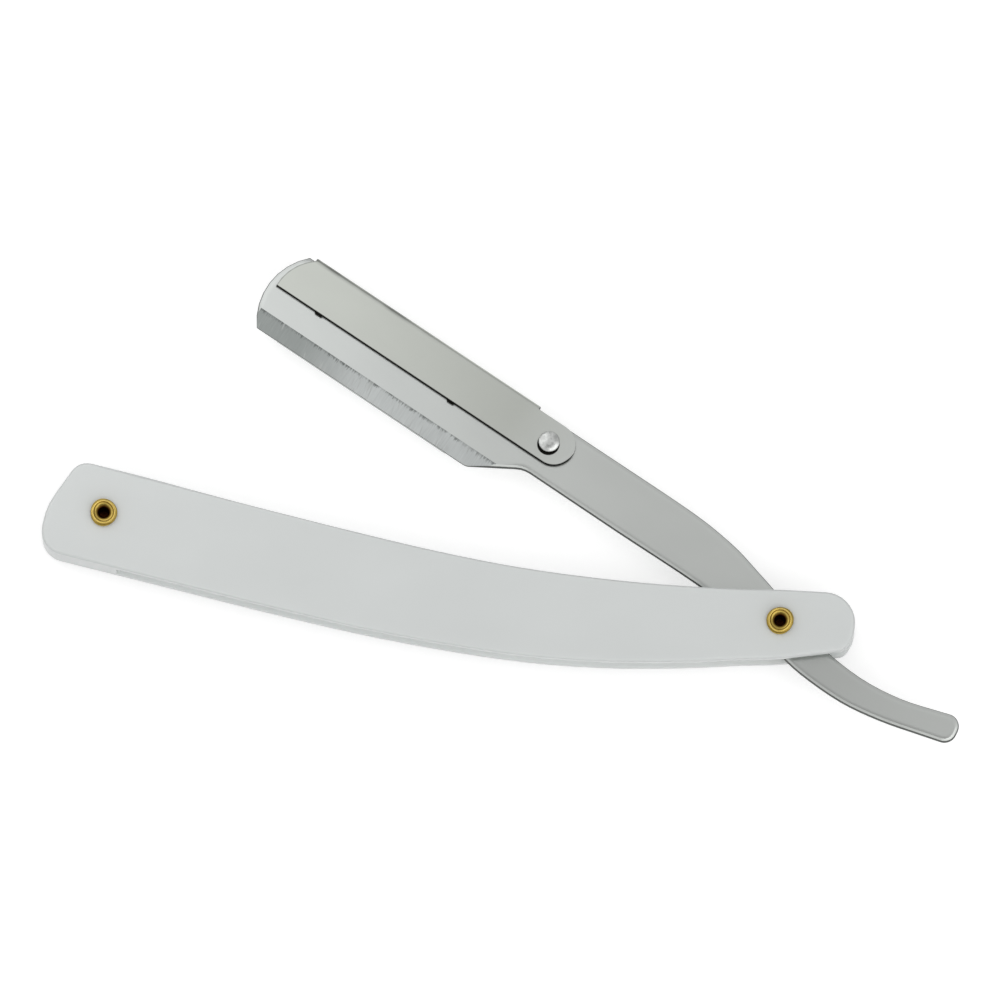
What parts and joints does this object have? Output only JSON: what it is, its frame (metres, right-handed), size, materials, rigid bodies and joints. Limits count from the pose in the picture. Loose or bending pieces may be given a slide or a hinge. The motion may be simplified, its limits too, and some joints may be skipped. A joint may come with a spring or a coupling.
{
  "type": "folding razor",
  "caption": "Barber's folding razor for exchangeable half blades, with a curved white plastic handle on tubular brass rivets, a steel arm with a swing-clip blade holder, opened a little",
  "frame": {"origin": "centre of the overall box in X and Y, on the plane that the rivet heads rest on when the razor lies on its side", "axes": "+X is the longest extent, roughly from the butt of the handle to its toe; +Y points to the side that the arm opens to; +Z is the way the front scale faces, the shortest extent"},
  "size_m": [0.168, 0.0906, 0.0103],
  "materials": {
    "white_plastic": "moulded white plastic with a soft gloss",
    "brass": "bright rolled brass, darker in the folds",
    "satin_steel": "stamped stainless sheet with a satin face",
    "blade_steel": "bright ground strip steel",
    "bright_steel": "polished steel rivet and pegs"
  },
  "bodies": {
    "handle": {"front_scale": "white_plastic", "back_scale": "white_plastic", "butt_spacer": "white_plastic", "pivot_rivet": "brass", "butt_rivet": "brass", "pivot_collar_front": "brass", "pivot_collar_back": "brass", "butt_collar_front": "brass", "butt_collar_back": "brass", "pivot_washer_front": "brass", "pivot_washer_back": "brass"},
    "arm": {"arm_front_leaf": "satin_steel", "arm_back_leaf": "satin_steel", "clip_rivet": "bright_steel", "half_blade": "blade_steel", "blade_peg_tip": "bright_steel", "blade_peg_heel": "bright_steel"},
    "clip": {"spine_clip": "satin_steel"}
  },
  "joints": [
    {"name": "arm_pivot", "type": "hinge", "parent": "handle", "child": "arm", "pos_m": [0.05125, -0.02331, 0.00516], "axis": [0, 0, -1], "range_deg": [-25, 245]},
    {"name": "clip_swing", "type": "hinge", "parent": "arm", "child": "clip", "pos_m": [0.00901, 0.01063, 0.00516], "axis": [0, 0, -1], "range_deg": [0, 95]}
  ]
}
